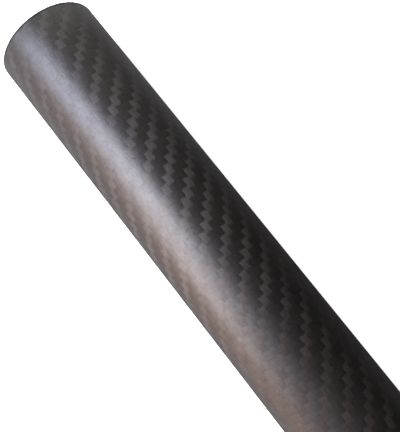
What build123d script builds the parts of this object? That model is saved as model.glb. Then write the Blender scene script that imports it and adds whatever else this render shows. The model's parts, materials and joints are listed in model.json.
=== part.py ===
"""Carbon fibre tube, a straight length of roll-wrapped stock, lying on its side. Millimetres.

One moulded piece: woven carbon cloth in epoxy, wrapped on a mandrel, cured, and sawn square at both ends.
The tube's axis is +X, +Z is up, and the origin is on the axis at the middle of the length.
"""

import os

from build123d import *

# Driving dimensions
LENGTH = 500.0  # stock length, end face to end face
OUTER_DIAMETER = 32.0
WALL = 1.0  # laminate thickness, all round
OUTER_EDGE_BREAK = 0.25  # sanded bevel on the rim of each sawn end
INNER_EDGE_BREAK = 0.15  # lighter bevel inside, at the mouth of the bore

BORE_DIAMETER = OUTER_DIAMETER - 2 * WALL
ALONG_X = Plane.YZ  # its normal is +X


def bevel_ends(tube, diameter, depth):
    """Bevels the circular edges of the given diameter at both ends."""
    rims = tube.edges().filter_by(GeomType.CIRCLE)
    rims = rims.filter_by(lambda edge: abs(edge.radius - diameter / 2) < WALL / 4)
    return chamfer(rims, depth)


def make_tube():
    """The round wall with its through bore, and both sawn ends bevelled."""
    wall = Circle(OUTER_DIAMETER / 2) - Circle(BORE_DIAMETER / 2)
    tube = extrude(ALONG_X * wall, amount=LENGTH / 2, both=True)
    tube = bevel_ends(tube, OUTER_DIAMETER, OUTER_EDGE_BREAK)
    return bevel_ends(tube, BORE_DIAMETER, INNER_EDGE_BREAK)


os.makedirs("parts", exist_ok=True)
export_step(make_tube(), "parts/tube.step")
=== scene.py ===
"""Looks for the carbon fibre tube: its woven cloth, bore and sawn ends, on a pale floor in studio light.

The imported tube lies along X, and its far end in the picture is the one at the lowest X. Lengths are metres.
"""

import json
import math

import bpy
from mathutils import Matrix, Vector


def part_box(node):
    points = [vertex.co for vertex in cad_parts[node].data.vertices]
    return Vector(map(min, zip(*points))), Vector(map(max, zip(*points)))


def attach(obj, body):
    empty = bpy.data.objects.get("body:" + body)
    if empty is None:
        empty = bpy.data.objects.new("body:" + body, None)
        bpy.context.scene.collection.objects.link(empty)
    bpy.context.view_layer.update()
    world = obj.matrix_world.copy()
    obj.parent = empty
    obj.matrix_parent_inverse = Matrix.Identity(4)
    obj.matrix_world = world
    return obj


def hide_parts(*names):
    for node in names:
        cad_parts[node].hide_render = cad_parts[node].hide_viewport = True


bl_info = {
    "name": "Carbon fibre tube",
    "version": (1, 0, 0),
    "blender": (4, 5, 0),
    "location": "3D View > Sidebar > Tube",
    "description": "Dresses a packed length of roll-wrapped carbon tube and lights it",
    "category": "Object",
}

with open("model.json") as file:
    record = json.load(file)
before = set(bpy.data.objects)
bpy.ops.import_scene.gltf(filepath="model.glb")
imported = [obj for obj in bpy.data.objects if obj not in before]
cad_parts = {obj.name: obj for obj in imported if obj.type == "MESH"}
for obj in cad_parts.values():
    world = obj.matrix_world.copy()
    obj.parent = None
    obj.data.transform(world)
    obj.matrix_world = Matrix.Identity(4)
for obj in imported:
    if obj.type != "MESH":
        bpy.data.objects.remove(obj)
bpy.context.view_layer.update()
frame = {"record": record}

MM = 0.001
AT_END = 0.01 * MM  # a point this close to an end face is on it
END_TILT = 0.01  # a face belongs to an end if its normal's X part is above this
SMOOTH_ANGLE = math.radians(35)  # edges sharper than this stay sharp
FLOOR_SIZE = 8.0
LIGHT_REACH = 0.75  # from a light to its aim

mount_radius = {mount["name"]: mount["dims"].get("r_mm", 0) * MM for mount in frame["record"]["mounts"]}
tube_low, tube_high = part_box("tube")


# Sizes and colours


class TubeSizes(bpy.types.PropertyGroup):
    """The sizes of the tube's mesh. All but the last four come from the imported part."""

    start: bpy.props.FloatProperty(
        name="Far end",
        description="Place of the far end face along X",
        default=tube_low.x,
        unit="LENGTH",
    )
    length: bpy.props.FloatProperty(
        name="Length",
        description="From end face to end face",
        default=tube_high.x - tube_low.x,
        unit="LENGTH",
    )
    outer_radius: bpy.props.FloatProperty(
        name="Outer radius",
        description="Radius over the cloth",
        default=mount_radius["outside"],
        unit="LENGTH",
    )
    bore_radius: bpy.props.FloatProperty(
        name="Bore radius",
        description="Radius of the through bore",
        default=mount_radius["bore"],
        unit="LENGTH",
    )
    outer_edge: bpy.props.FloatProperty(
        name="Outer edge",
        description="Sanded bevel round the outside of each end",
        default=0.25 * MM,
        unit="LENGTH",
    )
    inner_edge: bpy.props.FloatProperty(
        name="Inner edge",
        description="Lighter bevel at the mouth of the bore",
        default=0.15 * MM,
        unit="LENGTH",
    )
    sides: bpy.props.IntProperty(
        name="Sides",
        description="Faces round the tube",
        default=240,
        min=24,
    )
    spans: bpy.props.IntProperty(
        name="Spans",
        description="Faces along the tube",
        default=40,
        min=1,
    )


class ClothLook(bpy.types.PropertyGroup):
    """The woven cloth: a 2x2 twill whose tows run along the tube and round it."""

    tows_round: bpy.props.IntProperty(
        name="Tows round",
        description="Tows counted once round the tube",
        default=50,
        min=4,
    )
    tow_pitch: bpy.props.FloatProperty(
        name="Tow pitch",
        description="From one tow that runs round to the next",
        default=2.025 * MM,
        unit="LENGTH",
    )
    first_tow: bpy.props.FloatProperty(
        name="First tow",
        description="From the far end to an edge of a tow",
        default=3.87 * MM,
        unit="LENGTH",
    )
    lean: bpy.props.FloatProperty(
        name="Lean",
        description="How far the tows that run round lean",
        default=math.radians(-2.1),
        unit="ROTATION",
    )
    wander: bpy.props.FloatProperty(
        name="Wander",
        description="How far a tow strays from its line, in tows",
        default=0.14,
        min=0,
    )
    fray: bpy.props.FloatProperty(
        name="Fray",
        description="How ragged the edges of the tows are, in tows",
        default=0.25,
        min=0,
    )
    # The tows that run along have a lighter base colour than those that run round: a painted sheen, because
    # both are the same black carbon.
    along_colour_and_sheen: bpy.props.FloatVectorProperty(
        name="Colour and sheen along",
        description="Colour of the tows that run along the tube",
        subtype="COLOR",
        default=(0.0215, 0.0174, 0.0152),
    )
    round_colour: bpy.props.FloatVectorProperty(
        name="Colour round",
        description="Colour of the tows that run round the tube",
        subtype="COLOR",
        default=(0.0068, 0.0055, 0.0047),
    )
    float_start: bpy.props.FloatProperty(
        name="Float start",
        description="Where a float along the tube comes up, in tows from a crossing",
        default=0.13,
    )
    float_length: bpy.props.FloatProperty(
        name="Float length",
        description="How long it shows before it dips again, in tows",
        default=1.63,
        min=0.5,
        max=3,
    )
    end_fade: bpy.props.FloatProperty(
        name="End fade",
        description="How far a light float darkens where it ends",
        default=0.35,
        min=0.0,
        max=1.0,
    )
    relief: bpy.props.FloatProperty(
        name="Relief",
        description="How high a tow's crown stands under the lacquer",
        default=0.065 * MM,
        unit="LENGTH",
    )
    fibre_relief: bpy.props.FloatProperty(
        name="Fibre relief",
        description="Height of the fibre bundles on a tow",
        default=0.006 * MM,
        unit="LENGTH",
    )
    lacquer_roughness: bpy.props.FloatProperty(
        name="Lacquer",
        description="Roughness of the satin lacquer over the cloth",
        default=0.4,
        min=0,
        max=1,
    )


class StudioLook(bpy.types.PropertyGroup):
    """The camera's place and the light, in the tube's own frame."""

    camera_place: bpy.props.FloatVectorProperty(
        name="Camera",
        description="Place of the lens",
        subtype="TRANSLATION",
        default=(-0.1615, -0.01034, 0.14255),
    )
    azimuth: bpy.props.FloatProperty(
        name="Azimuth",
        description="0 looks along +Y, and a quarter turn along -X",
        default=math.radians(51.8),
        unit="ROTATION",
    )
    elevation: bpy.props.FloatProperty(
        name="Elevation",
        description="How steeply the camera looks down",
        default=math.radians(81.38),
        unit="ROTATION",
    )
    lens: bpy.props.FloatProperty(
        name="Lens",
        description="Focal length",
        default=40.78,
        unit="CAMERA",
    )
    window_power: bpy.props.FloatProperty(
        name="Window",
        description="Power of the cool light that makes the streak",
        default=6.8,
        unit="POWER",
    )
    window_colour: bpy.props.FloatVectorProperty(
        name="Window colour",
        description="Its cool blue",
        subtype="COLOR",
        default=(0.705, 0.78, 1.0),
    )
    strip_power: bpy.props.FloatProperty(
        name="Strip",
        description="Power of the long light that carries the streak on",
        default=8.7,
        unit="POWER",
    )
    strip_colour: bpy.props.FloatVectorProperty(
        name="Strip colour",
        description="Its faint pink",
        subtype="COLOR",
        default=(1.0, 0.935, 0.955),
    )
    warm_power: bpy.props.FloatProperty(
        name="Warm side",
        description="Power of the low light on the tube's left flank",
        default=3.3,
        unit="POWER",
    )
    warm_colour: bpy.props.FloatVectorProperty(
        name="Warm colour",
        description="Its pinkish tan",
        subtype="COLOR",
        default=(1.0, 0.55, 0.33),
    )
    back_power: bpy.props.FloatProperty(
        name="Back",
        description="Power of the soft light behind the tube's near half",
        default=0.5,
        unit="POWER",
    )
    fill_power: bpy.props.FloatProperty(
        name="Fill",
        description="Strength of the even light from the ceiling",
        default=0.2,
    )
    far_wall: bpy.props.FloatVectorProperty(
        name="Far wall",
        description="The pale wall past the far end",
        subtype="COLOR",
        default=(2.35, 2.15, 2.0),
    )
    room_ground: bpy.props.FloatVectorProperty(
        name="Ground",
        description="The pale table as the tube mirrors it",
        subtype="COLOR",
        default=(0.77, 0.75, 0.76),
    )
    room_dark: bpy.props.FloatVectorProperty(
        name="Room sides",
        description="The dark rest of the room",
        subtype="COLOR",
        default=(0.004, 0.003, 0.003),
    )
    backdrop: bpy.props.FloatVectorProperty(
        name="Backdrop",
        description="Pale studio wall seen over the floor",
        subtype="COLOR",
        default=(1.0, 1.0, 1.0),
    )


# Shader maths


class Signal:
    """A node's output. Arithmetic on it adds Math nodes, so finishes read as formulas."""

    def __init__(self, finish, socket):
        self.finish = finish
        self.socket = socket

    def math(self, operation, *others):
        """Adds one Math node that works on this output and the others, in order."""
        values = dict(enumerate((self, *others)))
        return self.finish.add("ShaderNodeMath", {"operation": operation}, values)["Value"]

    def __add__(self, other):
        return self.math("ADD", other)

    def __radd__(self, other):
        return self.math("ADD", other)

    def __sub__(self, other):
        return self.math("SUBTRACT", other)

    def __rsub__(self, other):
        return (self * -1).math("ADD", other)

    def __mul__(self, other):
        return self.math("MULTIPLY", other)

    def __rmul__(self, other):
        return self.math("MULTIPLY", other)

    def __truediv__(self, other):
        return self.math("DIVIDE", other)

    def __pow__(self, other):
        return self.math("POWER", other)

    def __mod__(self, other):
        return self.math("FLOORED_MODULO", other)

    def __lt__(self, other):
        return self.math("LESS_THAN", other)

    def __gt__(self, other):
        return self.math("GREATER_THAN", other)

    def __neg__(self):
        return self * -1

    def __abs__(self):
        return self.math("ABSOLUTE")

    def __floor__(self):
        return self.math("FLOOR")

    def ramp(self, start, end):
        """0 up to start and 1 from end, with a smooth rise between. end may be the lower of the two."""
        values = {"Value": self, "From Min": start, "From Max": end}
        return self.finish.add("ShaderNodeMapRange", {"interpolation_type": "SMOOTHSTEP"}, values)["Result"]


class Finish:
    """The nodes of a material, or of the world."""

    def __init__(self, owner):
        self.owner = owner
        owner.use_nodes = True
        self.tree = owner.node_tree
        self.tree.nodes.clear()

    def add(self, kind, settings=None, values=None):
        """Adds a node. Its settings are set first, and then its sockets, by name, identifier or number."""
        node = self.tree.nodes.new(kind)
        for name, value in (settings or {}).items():
            setattr(node, name, value)
        for key, value in (values or {}).items():
            self.feed(socket_called(node.inputs, key), value)
        return Outputs(self, node)

    def feed(self, socket, value):
        """Links a signal to a socket, or sets the socket's own number or colour."""
        if isinstance(value, Signal):
            self.tree.links.new(value.socket, socket)
        elif socket.type == "RGBA":
            socket.default_value = (*value, 1)
        else:
            socket.default_value = value

    def place(self):
        """The point's x, y and z on the piece, or the direction in the world."""
        output = "Object" if isinstance(self.owner, bpy.types.Material) else "Generated"
        at = self.add("ShaderNodeTexCoord")[output]
        split = self.add("ShaderNodeSeparateXYZ", values={"Vector": at})
        return split["X"], split["Y"], split["Z"]

    def point(self, x=0.0, y=0.0, z=0.0):
        return self.add("ShaderNodeCombineXYZ", values={"X": x, "Y": y, "Z": z})["Vector"]

    def noise(self, at, scale=1.0, detail=2.0, roughness=0.5):
        """Smooth noise, about 0.5 on average."""
        values = {"Vector": at, "Scale": scale, "Detail": detail, "Roughness": roughness}
        return self.add("ShaderNodeTexNoise", {"noise_dimensions": "3D"}, values)["Fac"]

    def chance(self, at):
        """One number from 0 to 1 for each different point."""
        return self.add("ShaderNodeTexWhiteNoise", {"noise_dimensions": "3D"}, {"Vector": at})["Value"]

    def choose(self, share, first, second):
        """A number that goes from first to second as share goes from 0 to 1."""
        values = {"Factor_Float": share, "A_Float": first, "B_Float": second}
        return self.add("ShaderNodeMix", {"data_type": "FLOAT"}, values)["Result_Float"]

    def tint(self, share, first, second):
        """A colour that goes from first to second as share goes from 0 to 1."""
        values = {"Factor_Float": share, "A_Color": first, "B_Color": second}
        return self.add("ShaderNodeMix", {"data_type": "RGBA"}, values)["Result_Color"]

    def shade(self, colour, strength):
        """A colour made brighter or darker by a number."""
        values = {0: colour, "Scale": strength}
        return self.add("ShaderNodeVectorMath", {"operation": "SCALE"}, values)["Vector"]

    def bump(self, height, distance):
        """A normal for a surface that stands height times distance proud."""
        return self.add("ShaderNodeBump", values={"Height": height, "Distance": distance})["Normal"]

    def surface(self, **values):
        """A Principled shader. Its sockets are given by name, with _ for a space."""
        sockets = {name.replace("_", " "): value for name, value in values.items()}
        return self.add("ShaderNodeBsdfPrincipled", values=sockets)["BSDF"]

    def show(self, shader, output="ShaderNodeOutputMaterial"):
        self.add(output, values={"Surface": shader})
        return self.owner


class Outputs:
    """A node's outputs, each reached by its name or identifier."""

    def __init__(self, finish, node):
        self.finish = finish
        self.node = node

    def __getitem__(self, key):
        return Signal(self.finish, socket_called(self.node.outputs, key))


def socket_called(sockets, key):
    if isinstance(key, int):
        return sockets[key]
    return next(socket for socket in sockets if key in (socket.identifier, socket.name))


# Finishes

OVER = 2  # a tow goes over this many others, and then under as many
REPEAT = 2 * OVER
PLY = 0.2 * MM  # thickness of one ply
BORE_RELIEF = 0.01 * MM
SAWN_RELIEF = 0.012 * MM
END_BAND_FROM, END_BAND_TO = 0.85 * MM, 0.5 * MM  # from an end: where the darker, duller band starts, and where it is full

BORE_COLOUR = (0.03, 0.029, 0.029)
PLY_COLOURS = (0.05, 0.048, 0.046), (0.09, 0.088, 0.086)  # one ply and the next
SANDED_COLOUR = (0.006, 0.0055, 0.0055)
BOARD_COLOURS = (0.89, 0.89, 0.89), (0.92, 0.92, 0.915)

# How fine the noises are, in spots per metre. Fibres have one number across them and one down their length.
FRAY_SPOTS = 500.0
WANDER_ALONG_SPOTS, WANDER_ROUND_SPOTS = 120.0, 90.0
GRAIN_SPOTS = 1300.0
CLOUD_SPOTS = 330.0
SMEAR_SPOTS = 25.0
SAWN_GRAIN_SPOTS = 9000.0
FLOOR_SPOTS = 30.0
FIBRE_SPOTS_ACROSS, FIBRE_SPOTS_DOWN = 5000, 200
BORE_FIBRE_SPOTS_DOWN = 40
BORE_BAND_SPOTS_ACROSS, BORE_BAND_SPOTS_DOWN = 500, 6
SCRATCH_SPOTS_ACROSS, SCRATCH_SPOTS_DOWN = 9000, 300


def strays(finish, cloth, at, wander_spots):
    """How far a tow strays from its line here, in tows: a slow wander, and a ragged edge."""
    wandered = (finish.noise(at, wander_spots, 3.0) - 0.5) * (2 * cloth.wander)
    frayed = (finish.noise(at, FRAY_SPOTS, 3.0) - 0.5) * (2 * cloth.fray)
    return wandered + frayed


def cloth_finish(cloth, tube):
    """Twill cloth under a satin lacquer. Each set of tows has a shader of its own: those that run along
    spread a highlight across their fibres, round the tube, and so stay lighter beside the streak. Their base
    colour is also lighter than that of the tows that run round, as a painted sheen."""
    finish = Finish(bpy.data.materials.new("carbon_cloth"))
    x, y, z = finish.place()
    turns = (-y).math("ARCTAN2", z) / math.tau
    arc = turns * (math.tau * tube.outer_radius)

    here = finish.point(x, y, z)
    elsewhere = finish.point(x + 1.0, y, z)
    past_first_tow = x - (tube.start + cloth.first_tow) + arc * math.tan(cloth.lean)
    along = past_first_tow / cloth.tow_pitch + strays(finish, cloth, here, WANDER_ALONG_SPOTS)
    around = turns * cloth.tows_round + strays(finish, cloth, elsewhere, WANDER_ROUND_SPOTS)

    # Each tow that runs along goes over two and under two, one tow later than its neighbour does. The tows
    # that run round lie wide, and cut its floats short.
    along_tow = math.floor(around)
    into_repeats = along - along_tow - cloth.float_start
    repeat = math.floor(into_repeats / REPEAT)
    into_repeat = into_repeats - repeat * REPEAT
    along_on_top = into_repeat < cloth.float_length
    along_float = into_repeat / cloth.float_length * 2 - 1
    past_float = into_repeat - cloth.float_length
    visible_width = (REPEAT - cloth.float_length) / 2
    second_tow = past_float > visible_width
    round_tow = along_tow + repeat * REPEAT + OVER + second_tow

    # From 0 to 1: across a tow from its middle to its edge, and down a float from its middle to its dip
    across_along_tow = abs(around - along_tow - 0.5) * 2
    across_round_tow = abs(past_float / visible_width - second_tow - 0.5) * 2
    down_round_tow = abs((around - round_tow) % REPEAT - OVER)
    across = finish.choose(along_on_top, across_round_tow, across_along_tow)
    down = finish.choose(along_on_top, down_round_tow, abs(along_float))
    crown = (1 - across**2 * 0.5) * (1 - down**2)

    # Streaks of fibre, and a tone for each tow and for each of its floats
    fibre_x, fibre_arc = x * FIBRE_SPOTS_DOWN, arc * FIBRE_SPOTS_ACROSS
    fibres_along = finish.noise(finish.point(fibre_x, fibre_arc, along_tow), 1.0, 4.0, 0.6)
    fibre_x, fibre_arc = x * FIBRE_SPOTS_ACROSS, arc * FIBRE_SPOTS_DOWN
    fibres_round = finish.noise(finish.point(fibre_x, fibre_arc, round_tow), 1.0, 4.0, 0.6)
    fibres = finish.choose(along_on_top, fibres_round, fibres_along)
    round_tone = finish.chance(finish.point(round_tow))
    along_tone = finish.chance(finish.point(y=along_tow))
    tow_tone = finish.choose(along_on_top, round_tone, along_tone)
    tow = finish.choose(along_on_top, round_tow, along_tow)
    crossing = finish.choose(along_on_top, along_tow - round_tow, round_tow - along_tow)
    float_tone = finish.chance(finish.point(tow, math.floor(crossing / REPEAT), along_on_top))

    # The cloth's colour is darker where floats end and where tows meet, as painted shade in these hollows,
    # and the lacquer is uneven. Both are darker and duller near the ends of the tube.
    gap = across.ramp(0.7, 1.0)
    dip = down.ramp(0.6, 1.0)
    pit = gap * dip
    grain = finish.noise(here, GRAIN_SPOTS, 4.0, 0.8)
    cloud = finish.noise(elsewhere, CLOUD_SPOTS, 1.0)
    # Darker colour and thinner lacquer within a narrow band at each end.
    end_band = (tube.length / 2 - abs(x)).ramp(END_BAND_FROM, END_BAND_TO)
    tone = 0.12 + tow_tone * 0.2 + float_tone * 0.5 + fibres * 0.36 + grain * 0.8
    # Painted shade: darker colour in the hollows where tows meet and where floats dip under.
    tone = tone * (1 - gap * 0.1 - dip * 0.15) * (1 - end_band * 0.6)
    lacquer = (grain * 1.2 + cloud * 0.4 + fibres * 0.5 - 0.1 - dip * 0.04 - pit * 0.08) * (1 - end_band * 0.8)
    normal = finish.bump(crown + fibres * (cloth.fibre_relief / cloth.relief), cloth.relief)

    smear = finish.noise(here, SMEAR_SPOTS, 4.0)
    # Its lighter base colour is a painted sheen over the carbon's own black.
    along_shader = finish.surface(
        Base_Color=finish.shade(tuple(cloth.along_colour_and_sheen), tone),
        Roughness=0.49 + smear * 0.08,
        Normal=normal,
        Anisotropic=0.86,
        Anisotropic_Rotation=0.25,
        Specular_IOR_Level=0.3,
        Coat_Weight=lacquer,
        Coat_Roughness=cloth.lacquer_roughness,
    )
    round_shader = finish.surface(
        Base_Color=finish.shade(tuple(cloth.round_colour), tone),
        Roughness=0.48 + smear * 0.08,
        Normal=normal,
        Anisotropic=0.15,
        Specular_IOR_Level=0.32,
        Coat_Weight=lacquer,
        Coat_Roughness=cloth.lacquer_roughness,
    )

    # A tow that runs along turns down under the others where its float ends, so its light face fades there.
    # The fade also swaps in the darker colour of the tows that run round: painted shade.
    light_share = along_on_top * (1 - dip * cloth.end_fade)
    mixed = finish.add("ShaderNodeMixShader", values={0: light_share, 1: round_shader, 2: along_shader})
    return finish.show(mixed["Shader"])


def bore_finish(tube):
    """The inside, smooth from the mandrel: fibres that run along the tube, in a glossy skin of resin."""
    finish = Finish(bpy.data.materials.new("mandrel_side"))
    x, y, z = finish.place()
    arc = y.math("ARCTAN2", z) * tube.bore_radius
    fibres = finish.noise(finish.point(x * BORE_FIBRE_SPOTS_DOWN, arc * FIBRE_SPOTS_ACROSS), 1.0, 4.0)
    band_place = finish.point(x * BORE_BAND_SPOTS_DOWN, arc * BORE_BAND_SPOTS_ACROSS, 3.0)
    bands = finish.noise(band_place, 1.0, 2.0)
    tone = 0.6 + fibres * 0.5 + bands * 0.4
    shader = finish.surface(
        Base_Color=finish.shade(BORE_COLOUR, tone),
        Roughness=0.3 + bands * 0.16,
        Normal=finish.bump(fibres + bands, BORE_RELIEF),
        Coat_Weight=0.4,
        Coat_Roughness=0.2,
    )
    return finish.show(shader)


def sawn_finish(tube):
    """The sawn and sanded ends: the plies show as fine rings, under the straight scratches of the saw."""
    finish = Finish(bpy.data.materials.new("sawn_laminate"))
    x, y, z = finish.place()
    radius = (y * y + z * z).math("SQRT")
    ply = (radius - tube.bore_radius) / PLY
    ply_number = math.floor(ply)
    round_ply = ply_number % 2
    resin_line = abs(ply - ply_number - 0.5).ramp(0.4, 0.5)
    grain = finish.noise(finish.point(x, y, z), SAWN_GRAIN_SPOTS, 2.0)
    scratches = finish.noise(finish.point(y * SCRATCH_SPOTS_DOWN, z * SCRATCH_SPOTS_ACROSS, x), 1.0, 3.0)
    sawn = finish.tint(round_ply, *PLY_COLOURS)
    bevel_start = tube.outer_radius - tube.outer_edge
    sanded = radius.ramp(bevel_start, bevel_start + tube.outer_edge * 0.3)
    colour = finish.tint(sanded, sawn, SANDED_COLOUR)
    tone = 0.55 + grain * 0.5 + scratches * 0.4 - resin_line * 0.3
    shader = finish.surface(
        Base_Color=finish.shade(colour, tone),
        Roughness=0.62 + grain * 0.15,
        Specular_IOR_Level=0.1,
        Normal=finish.bump(scratches + grain * 0.6, SAWN_RELIEF),
    )
    return finish.show(shader)


def floor_finish():
    """Pale matte board, faintly uneven. It gives off some light, and so stays pale in shadow."""
    finish = Finish(bpy.data.materials.new("pale_board"))
    mottle = finish.noise(finish.point(*finish.place()), FLOOR_SPOTS, 3.0)
    shader = finish.surface(
        Base_Color=finish.tint(mottle, *BOARD_COLOURS),
        Roughness=0.7,
        Specular_IOR_Level=0.2,
        Emission_Color=(1.0, 1.0, 1.0),
        Emission_Strength=0.85,
    )
    return finish.show(shader)


# Modelling

CLOTH, BORE, SAWN = range(3)  # the places of the tube's materials


def start_piece(name):
    """Names the new primitive, makes it the only thing selected, and goes into edit mode."""
    piece = bpy.context.active_object
    piece.name = piece.data.name = name
    bpy.ops.object.mode_set(mode="EDIT")
    return piece


def pick_edges(piece, wanted):
    """Selects the edges whose two ends both pass the test, and nothing else."""
    bpy.ops.mesh.select_mode(type="EDGE")
    bpy.ops.mesh.select_all(action="DESELECT")
    bpy.ops.object.mode_set(mode="OBJECT")
    points = piece.data.vertices
    for edge in piece.data.edges:
        edge.select = all(wanted(points[index].co) for index in edge.vertices)
    bpy.ops.object.mode_set(mode="EDIT")


def radius_of(point):
    return math.hypot(point.y, point.z)


class TUBE_OT_laminate(bpy.types.Operator):
    """Model the tube and give it its three finishes"""

    bl_idname = "tube.laminate"
    bl_label = "Laminate tube"
    bl_options = {"REGISTER", "UNDO"}

    def execute(self, context):
        tube = context.scene.tube_sizes
        piece = self.wall(tube)
        self.break_edges(piece, tube)
        self.finish(piece, tube, context.scene.cloth_look)
        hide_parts("tube")
        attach(piece, "root")
        return {"FINISHED"}

    def wall(self, tube):
        """A ring of points drawn out along X, and thickened inwards to the bore."""
        bpy.ops.object.select_all(action="DESELECT")
        bpy.ops.mesh.primitive_circle_add(
            vertices=tube.sides,
            radius=tube.outer_radius,
            location=(tube.start, 0, 0),
            rotation=(0, math.pi / 2, 0),
        )
        bpy.ops.object.transform_apply(location=True, rotation=True, scale=True)
        piece = start_piece("laminate_tube")
        bpy.ops.mesh.select_all(action="SELECT")
        for _ in range(tube.spans):
            bpy.ops.mesh.extrude_region_move(
                TRANSFORM_OT_translate={"value": (tube.length / tube.spans, 0, 0)}
            )
        bpy.ops.mesh.select_all(action="SELECT")
        bpy.ops.mesh.normals_make_consistent(inside=False)
        bpy.ops.object.mode_set(mode="OBJECT")
        wall = piece.modifiers.new("wall", "SOLIDIFY")
        wall.thickness = tube.outer_radius - tube.bore_radius
        wall.offset = -1
        wall.use_even_offset = True
        bpy.ops.object.modifier_apply(modifier=wall.name)
        return piece

    def break_edges(self, piece, tube):
        """Rounds the sawn edges, the outer ones more."""
        middle_radius = (tube.outer_radius + tube.bore_radius) / 2
        ends = (tube.start, tube.start + tube.length)

        def at_end(point):
            return min(abs(point.x - end) for end in ends) < AT_END

        bpy.ops.object.mode_set(mode="EDIT")
        pick_edges(piece, lambda point: at_end(point) and radius_of(point) > middle_radius)
        bpy.ops.mesh.bevel(offset=tube.outer_edge, segments=3, profile=0.5)
        pick_edges(piece, lambda point: at_end(point) and radius_of(point) < middle_radius)
        bpy.ops.mesh.bevel(offset=tube.inner_edge, segments=2, profile=0.5)
        bpy.ops.object.mode_set(mode="OBJECT")

    def finish(self, piece, tube, cloth):
        """Cloth outside, the mandrel's finish inside, and sawn laminate between."""
        piece.data.materials.clear()
        for material in (cloth_finish(cloth, tube), bore_finish(tube), sawn_finish(tube)):
            piece.data.materials.append(material)
        for face in piece.data.polygons:
            if abs(face.normal.x) > END_TILT:
                face.material_index = SAWN
            elif radius_of(face.center) < (tube.outer_radius + tube.bore_radius) / 2:
                face.material_index = BORE
            else:
                face.material_index = CLOTH
        bpy.ops.object.shade_smooth_by_angle(angle=SMOOTH_ANGLE)

        # The shaders take their direction from the texture space. Moved aside, it points along the tube.
        piece.data.use_auto_texspace = False
        piece.data.texspace_location = (0, 1, 0)
        piece.data.texspace_size = (100, 0.5, 1)


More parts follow.
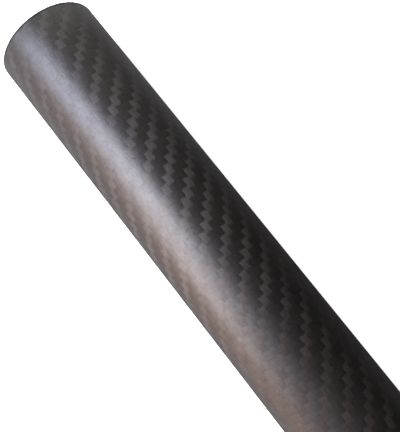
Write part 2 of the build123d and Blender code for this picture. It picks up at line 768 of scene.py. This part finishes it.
class TUBE_OT_studio(bpy.types.Operator):
    """Lay the floor, and set up the lights and the camera"""

    bl_idname = "tube.studio"
    bl_label = "Studio"
    bl_options = {"REGISTER", "UNDO"}

    def execute(self, context):
        studio = context.scene.studio_look
        self.floor()
        self.camera(context.scene, studio)
        self.room(context.scene, studio)
        far_half, near_half = Vector((-0.17, 0, 0)), Vector((0.2, 0, 0))
        self.light(
            "window", far_half, azimuth=50.9, elevation=41.9, size=(0.51, 0.435), turn=9.8,
            power=studio.window_power, colour=studio.window_colour,
        )
        self.light(
            "strip", far_half, azimuth=80.6, elevation=38.0, size=(0.15, 0.885), turn=27.9,
            power=studio.strip_power, colour=studio.strip_colour,
        )
        self.light(
            "warm_side", far_half, azimuth=86.7, elevation=9.3, size=(0.555, 1.035), turn=41.0,
            power=studio.warm_power, colour=studio.warm_colour,
        )
        back = self.light(
            "back", near_half, azimuth=270.0, elevation=25.0, size=(0.3, 0.3), turn=0.0,
            power=studio.back_power, colour=(1.0, 1.0, 1.0),
        )
        back.data.spread = math.radians(20)  # narrow enough to stay off the far end
        self.fill(context.scene, studio)
        context.scene.view_settings.view_transform = "Standard"
        return {"FINISHED"}

    def floor(self):
        """A board that the tube lies on. The tube neither mirrors it nor is lit by it."""
        bpy.ops.object.select_all(action="DESELECT")
        bpy.ops.mesh.primitive_plane_add(size=FLOOR_SIZE, location=(0, 0, -mount_radius["outside"]))
        board = bpy.context.active_object
        board.name = "floor"
        bpy.ops.object.transform_apply(location=True, rotation=False, scale=True)
        board.data.materials.append(floor_finish())
        board.visible_glossy = False
        board.visible_diffuse = False
        board.visible_shadow = False

    def camera(self, scene, studio):
        """Looks down on the far end from above the tube."""
        data = bpy.data.cameras.new("camera")
        data.lens = studio.lens
        data.clip_start = 5 * MM
        camera = bpy.data.objects.new("camera", data)
        scene.collection.objects.link(camera)
        camera.location = studio.camera_place
        camera.rotation_euler = (math.pi / 2 - studio.elevation, 0, studio.azimuth)
        scene.camera = camera

    def room(self, scene, studio):
        """What the tube mirrors: a dark room with a pale wall past its far end, a dim glow on the right,
        and a pale table. The camera sees a plain pale wall instead. x, y and z are parts of a direction."""
        room = Finish(bpy.data.worlds.new("room"))
        x, y, z = room.place()
        seen = room.add("ShaderNodeLightPath")["Is Camera Ray"]
        past_far_end = x.ramp(-0.35, -0.95) - x.ramp(-0.75, -0.97) * 0.75
        brighter_on_right = 0.4 + y.ramp(-0.1, 0.1) * 0.6
        glow = x.ramp(-0.05, -0.25) * x.ramp(-0.6, -0.4) * y.ramp(0.0, 0.3) * z.ramp(0.2, 0.5)
        lit_wall = past_far_end * brighter_on_right + glow * 0.08
        walls = room.tint(lit_wall, tuple(studio.room_dark), tuple(studio.far_wall))
        left_ground = y.ramp(-0.2, -0.8)
        right_ground = y.ramp(0.2, 0.8) * (0.12 + x.ramp(0.1, -0.6) * 0.31)
        ground_ends = x.ramp(-0.2, -0.8) * 0.35 + x.ramp(0.2, 0.8) * 0.12
        lit_ground = left_ground + right_ground + ground_ends
        ground = room.shade(tuple(studio.room_ground), lit_ground)
        mirrored = room.tint(z.ramp(0.12, -0.12), walls, ground)
        colour = room.tint(seen, mirrored, tuple(studio.backdrop))
        shader = room.add("ShaderNodeBackground", values={"Color": colour})["Background"]
        scene.world = room.show(shader, "ShaderNodeOutputWorld")

    def fill(self, scene, studio):
        """Faint even light from the whole ceiling, which nothing mirrors."""
        data = bpy.data.lights.new("ceiling", "SUN")
        data.energy = studio.fill_power
        data.angle = math.pi
        ceiling = bpy.data.objects.new("ceiling", data)
        scene.collection.objects.link(ceiling)
        ceiling.visible_glossy = False

    def light(self, name, aim, azimuth, elevation, size, turn, power, colour):
        """A soft oblong light, turned about its own beam. In degrees, azimuth runs from -X towards -Y."""
        azimuth, elevation, turn = math.radians(azimuth), math.radians(elevation), math.radians(turn)
        level = Vector((math.sin(azimuth), -math.cos(azimuth), 0))
        away = Vector((-math.cos(azimuth), -math.sin(azimuth), 0)) * math.cos(elevation)
        away.z = math.sin(elevation)
        lengthwise = Matrix.Rotation(turn, 3, away) @ level
        data = bpy.data.lights.new(name, "AREA")
        data.shape = "RECTANGLE"
        data.size, data.size_y = size
        data.energy = power
        data.color = colour
        lamp = bpy.data.objects.new(name, data)
        bpy.context.scene.collection.objects.link(lamp)
        axes = Matrix((lengthwise, away.cross(lengthwise), away)).transposed()
        lamp.matrix_world = Matrix.Translation(aim + away * LIGHT_REACH) @ axes.to_4x4()
        lamp.visible_camera = False
        return lamp


class TUBE_PT_panel(bpy.types.Panel):
    """The tube's sizes and finish, and the studio"""

    bl_idname = "TUBE_PT_panel"
    bl_label = "Carbon fibre tube"
    bl_space_type = "VIEW_3D"
    bl_region_type = "UI"
    bl_category = "Tube"

    def draw(self, context):
        for group, operator in (
            (context.scene.tube_sizes, None),
            (context.scene.cloth_look, TUBE_OT_laminate.bl_idname),
            (context.scene.studio_look, TUBE_OT_studio.bl_idname),
        ):
            box = self.layout.box()
            for name in group.bl_rna.properties.keys():
                if name not in ("rna_type", "name"):
                    box.prop(group, name)
            if operator:
                box.operator(operator)


GROUPS = {"tube_sizes": TubeSizes, "cloth_look": ClothLook, "studio_look": StudioLook}
CLASSES = (*GROUPS.values(), TUBE_OT_laminate, TUBE_OT_studio, TUBE_PT_panel)


def register():
    for cls in CLASSES:
        bpy.utils.register_class(cls)
    for name, group in GROUPS.items():
        setattr(bpy.types.Scene, name, bpy.props.PointerProperty(type=group))


def unregister():
    for name in GROUPS:
        delattr(bpy.types.Scene, name)
    for cls in reversed(CLASSES):
        bpy.utils.unregister_class(cls)


def main():
    register()
    bpy.ops.tube.studio()
    bpy.ops.tube.laminate()


if __name__ == "__main__":
    main()
